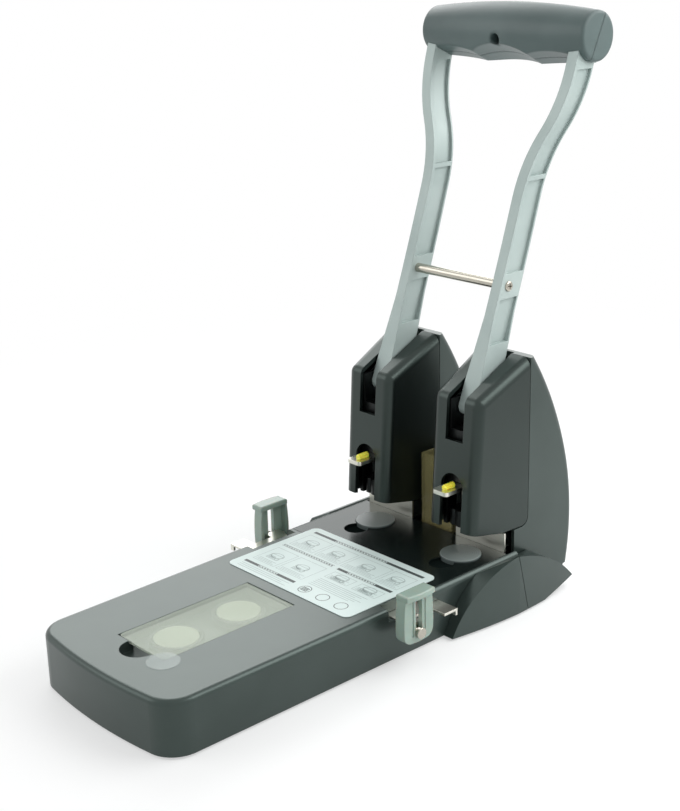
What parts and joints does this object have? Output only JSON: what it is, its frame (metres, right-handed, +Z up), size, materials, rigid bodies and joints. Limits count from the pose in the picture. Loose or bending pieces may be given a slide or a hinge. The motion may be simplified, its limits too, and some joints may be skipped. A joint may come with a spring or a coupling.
{
  "type": "two-hole lever punch",
  "caption": "Heavy-duty two-hole paper punch: long base with side guides, two punching heads and a tall two-armed lever with a barrel grip.",
  "frame": {"origin": "on the table plane, midway between the two punch pins", "axes": "+X to the right seen from the front, +Y to the rear, +Z up"},
  "size_m": [0.1815, 0.375, 0.3795],
  "materials": {
    "shell": "satin moulded",
    "grip": "fine matt moulded",
    "bed_black": "glossy",
    "disc_plastic": "turned, fine rings",
    "cast_arm": "die cast, satin",
    "steel": "brushed",
    "bright_steel": "bright",
    "zinc_plate": "zinc plated",
    "ram_steel": "oiled",
    "guide_plastic": "satin moulded",
    "clear_lid": "clear, faintly green",
    "tinted_box": "clear, olive",
    "label": "printed film",
    "seal": "clear film",
    "latch_yellow": "glossy",
    "rubber": "matt"
  },
  "bodies": {
    "base": {"base_shell": "shell", "bottom_plate": "shell", "feet": "rubber", "bed": "bed_black", "bed_plate": "steel", "label_panel": "label", "paper_stop": "zinc_plate", "spare_discs": "disc_plastic", "rear_cover": "shell", "centre_cover": "shell", "head_casing_left": "shell", "head_casing_right": "shell", "rear_shell_left": "shell", "rear_shell_right": "shell", "frame_left": "steel", "frame_right": "steel", "pivot_shaft_left": "steel", "pivot_shaft_right": "steel", "pin_guide_left": "ram_steel", "pin_guide_right": "ram_steel", "shaft_spacers_left": "ram_steel", "shaft_spacers_right": "ram_steel", "side_fairing_left": "shell", "side_fairing_right": "shell"},
    "lever": {"arm_left": "cast_arm", "arm_right": "cast_arm", "drive_pin_left": "bright_steel", "drive_pin_right": "bright_steel", "grip_front": "grip", "grip_rear": "grip", "crossbar": "bright_steel", "crossbar_screws": "bright_steel"},
    "lid": {"store_lid": "clear_lid", "lid_seal": "seal"},
    "chip_box": {"clear_box": "tinted_box"},
    "ram_left": {"ram_left": "ram_steel", "punch_pin_left": "bright_steel"},
    "tab_left": {"release_tab_left": "zinc_plate", "latch_left": "latch_yellow"},
    "disc_left": {"cutting_disc_left": "disc_plastic"},
    "slide_left": {"guide_slide_left": "zinc_plate"},
    "guide_left": {"paper_guide_left": "guide_plastic"},
    "knob_left": {"guide_knob_left": "bright_steel"},
    "ram_right": {"ram_right": "ram_steel", "punch_pin_right": "bright_steel"},
    "tab_right": {"release_tab_right": "zinc_plate", "latch_right": "latch_yellow"},
    "disc_right": {"cutting_disc_right": "disc_plastic"},
    "slide_right": {"guide_slide_right": "zinc_plate"},
    "guide_right": {"paper_guide_right": "guide_plastic"},
    "knob_right": {"guide_knob_right": "bright_steel"}
  },
  "joints": [
    {"name": "lever_turn", "type": "hinge", "parent": "base", "child": "lever", "pos_m": [0, 0.015, 0.125], "axis": [1, 0, 0], "range_deg": [0, 85]},
    {"name": "ram_left_slide", "type": "slide", "parent": "base", "child": "ram_left", "axis": [0, 0, -1], "range_m": [0, 0.01631]},
    {"name": "tab_left_slide", "type": "slide", "parent": "ram_left", "child": "tab_left", "axis": [0, -1, 0], "range_m": [0, 0.005]},
    {"name": "disc_left_turn", "type": "hinge", "parent": "base", "child": "disc_left", "pos_m": [-0.0356, -0.009, 0.036], "axis": [0, 0, 1], "continuous": true},
    {"name": "slide_left_travel", "type": "slide", "parent": "base", "child": "slide_left", "axis": [-1, 0, 0], "range_m": [-0.004, 0.0305]},
    {"name": "guide_left_height", "type": "slide", "parent": "slide_left", "child": "guide_left", "axis": [0, 0, 1], "range_m": [-0.016, 0]},
    {"name": "knob_left_turn", "type": "hinge", "parent": "slide_left", "child": "knob_left", "pos_m": [-0.0895, -0.0612, 0.024], "axis": [-1, 0, 0], "range_deg": [-180, 180]},
    {"name": "ram_right_slide", "type": "slide", "parent": "base", "child": "ram_right", "axis": [0, 0, -1], "range_m": [0, 0.01631]},
    {"name": "tab_right_slide", "type": "slide", "parent": "ram_right", "child": "tab_right", "axis": [0, -1, 0], "range_m": [0, 0.005]},
    {"name": "disc_right_turn", "type": "hinge", "parent": "base", "child": "disc_right", "pos_m": [0.0444, -0.009, 0.036], "axis": [0, 0, 1], "continuous": true},
    {"name": "slide_right_travel", "type": "slide", "parent": "base", "child": "slide_right", "axis": [1, 0, 0], "range_m": [-0.002, 0.035]},
    {"name": "guide_right_height", "type": "slide", "parent": "slide_right", "child": "guide_right", "axis": [0, 0, 1], "range_m": [-0.016, 0]},
    {"name": "knob_right_turn", "type": "hinge", "parent": "slide_right", "child": "knob_right", "pos_m": [0.085, -0.0898, 0.024], "axis": [1, 0, 0], "range_deg": [-180, 180]},
    {"name": "lid_turn", "type": "hinge", "parent": "base", "child": "lid", "pos_m": [0, -0.1353, 0.0352], "axis": [-1, 0, 0], "range_deg": [0, 100]},
    {"name": "chip_box_lift", "type": "slide", "parent": "base", "child": "chip_box", "axis": [0, 0, 1], "range_m": [0, 0.06]}
  ],
  "couplings": [
    {"joint": "ram_left_slide", "follows": "lever_turn", "m_per_rad": 0.010929},
    {"joint": "ram_right_slide", "follows": "lever_turn", "m_per_rad": 0.010929}
  ]
}
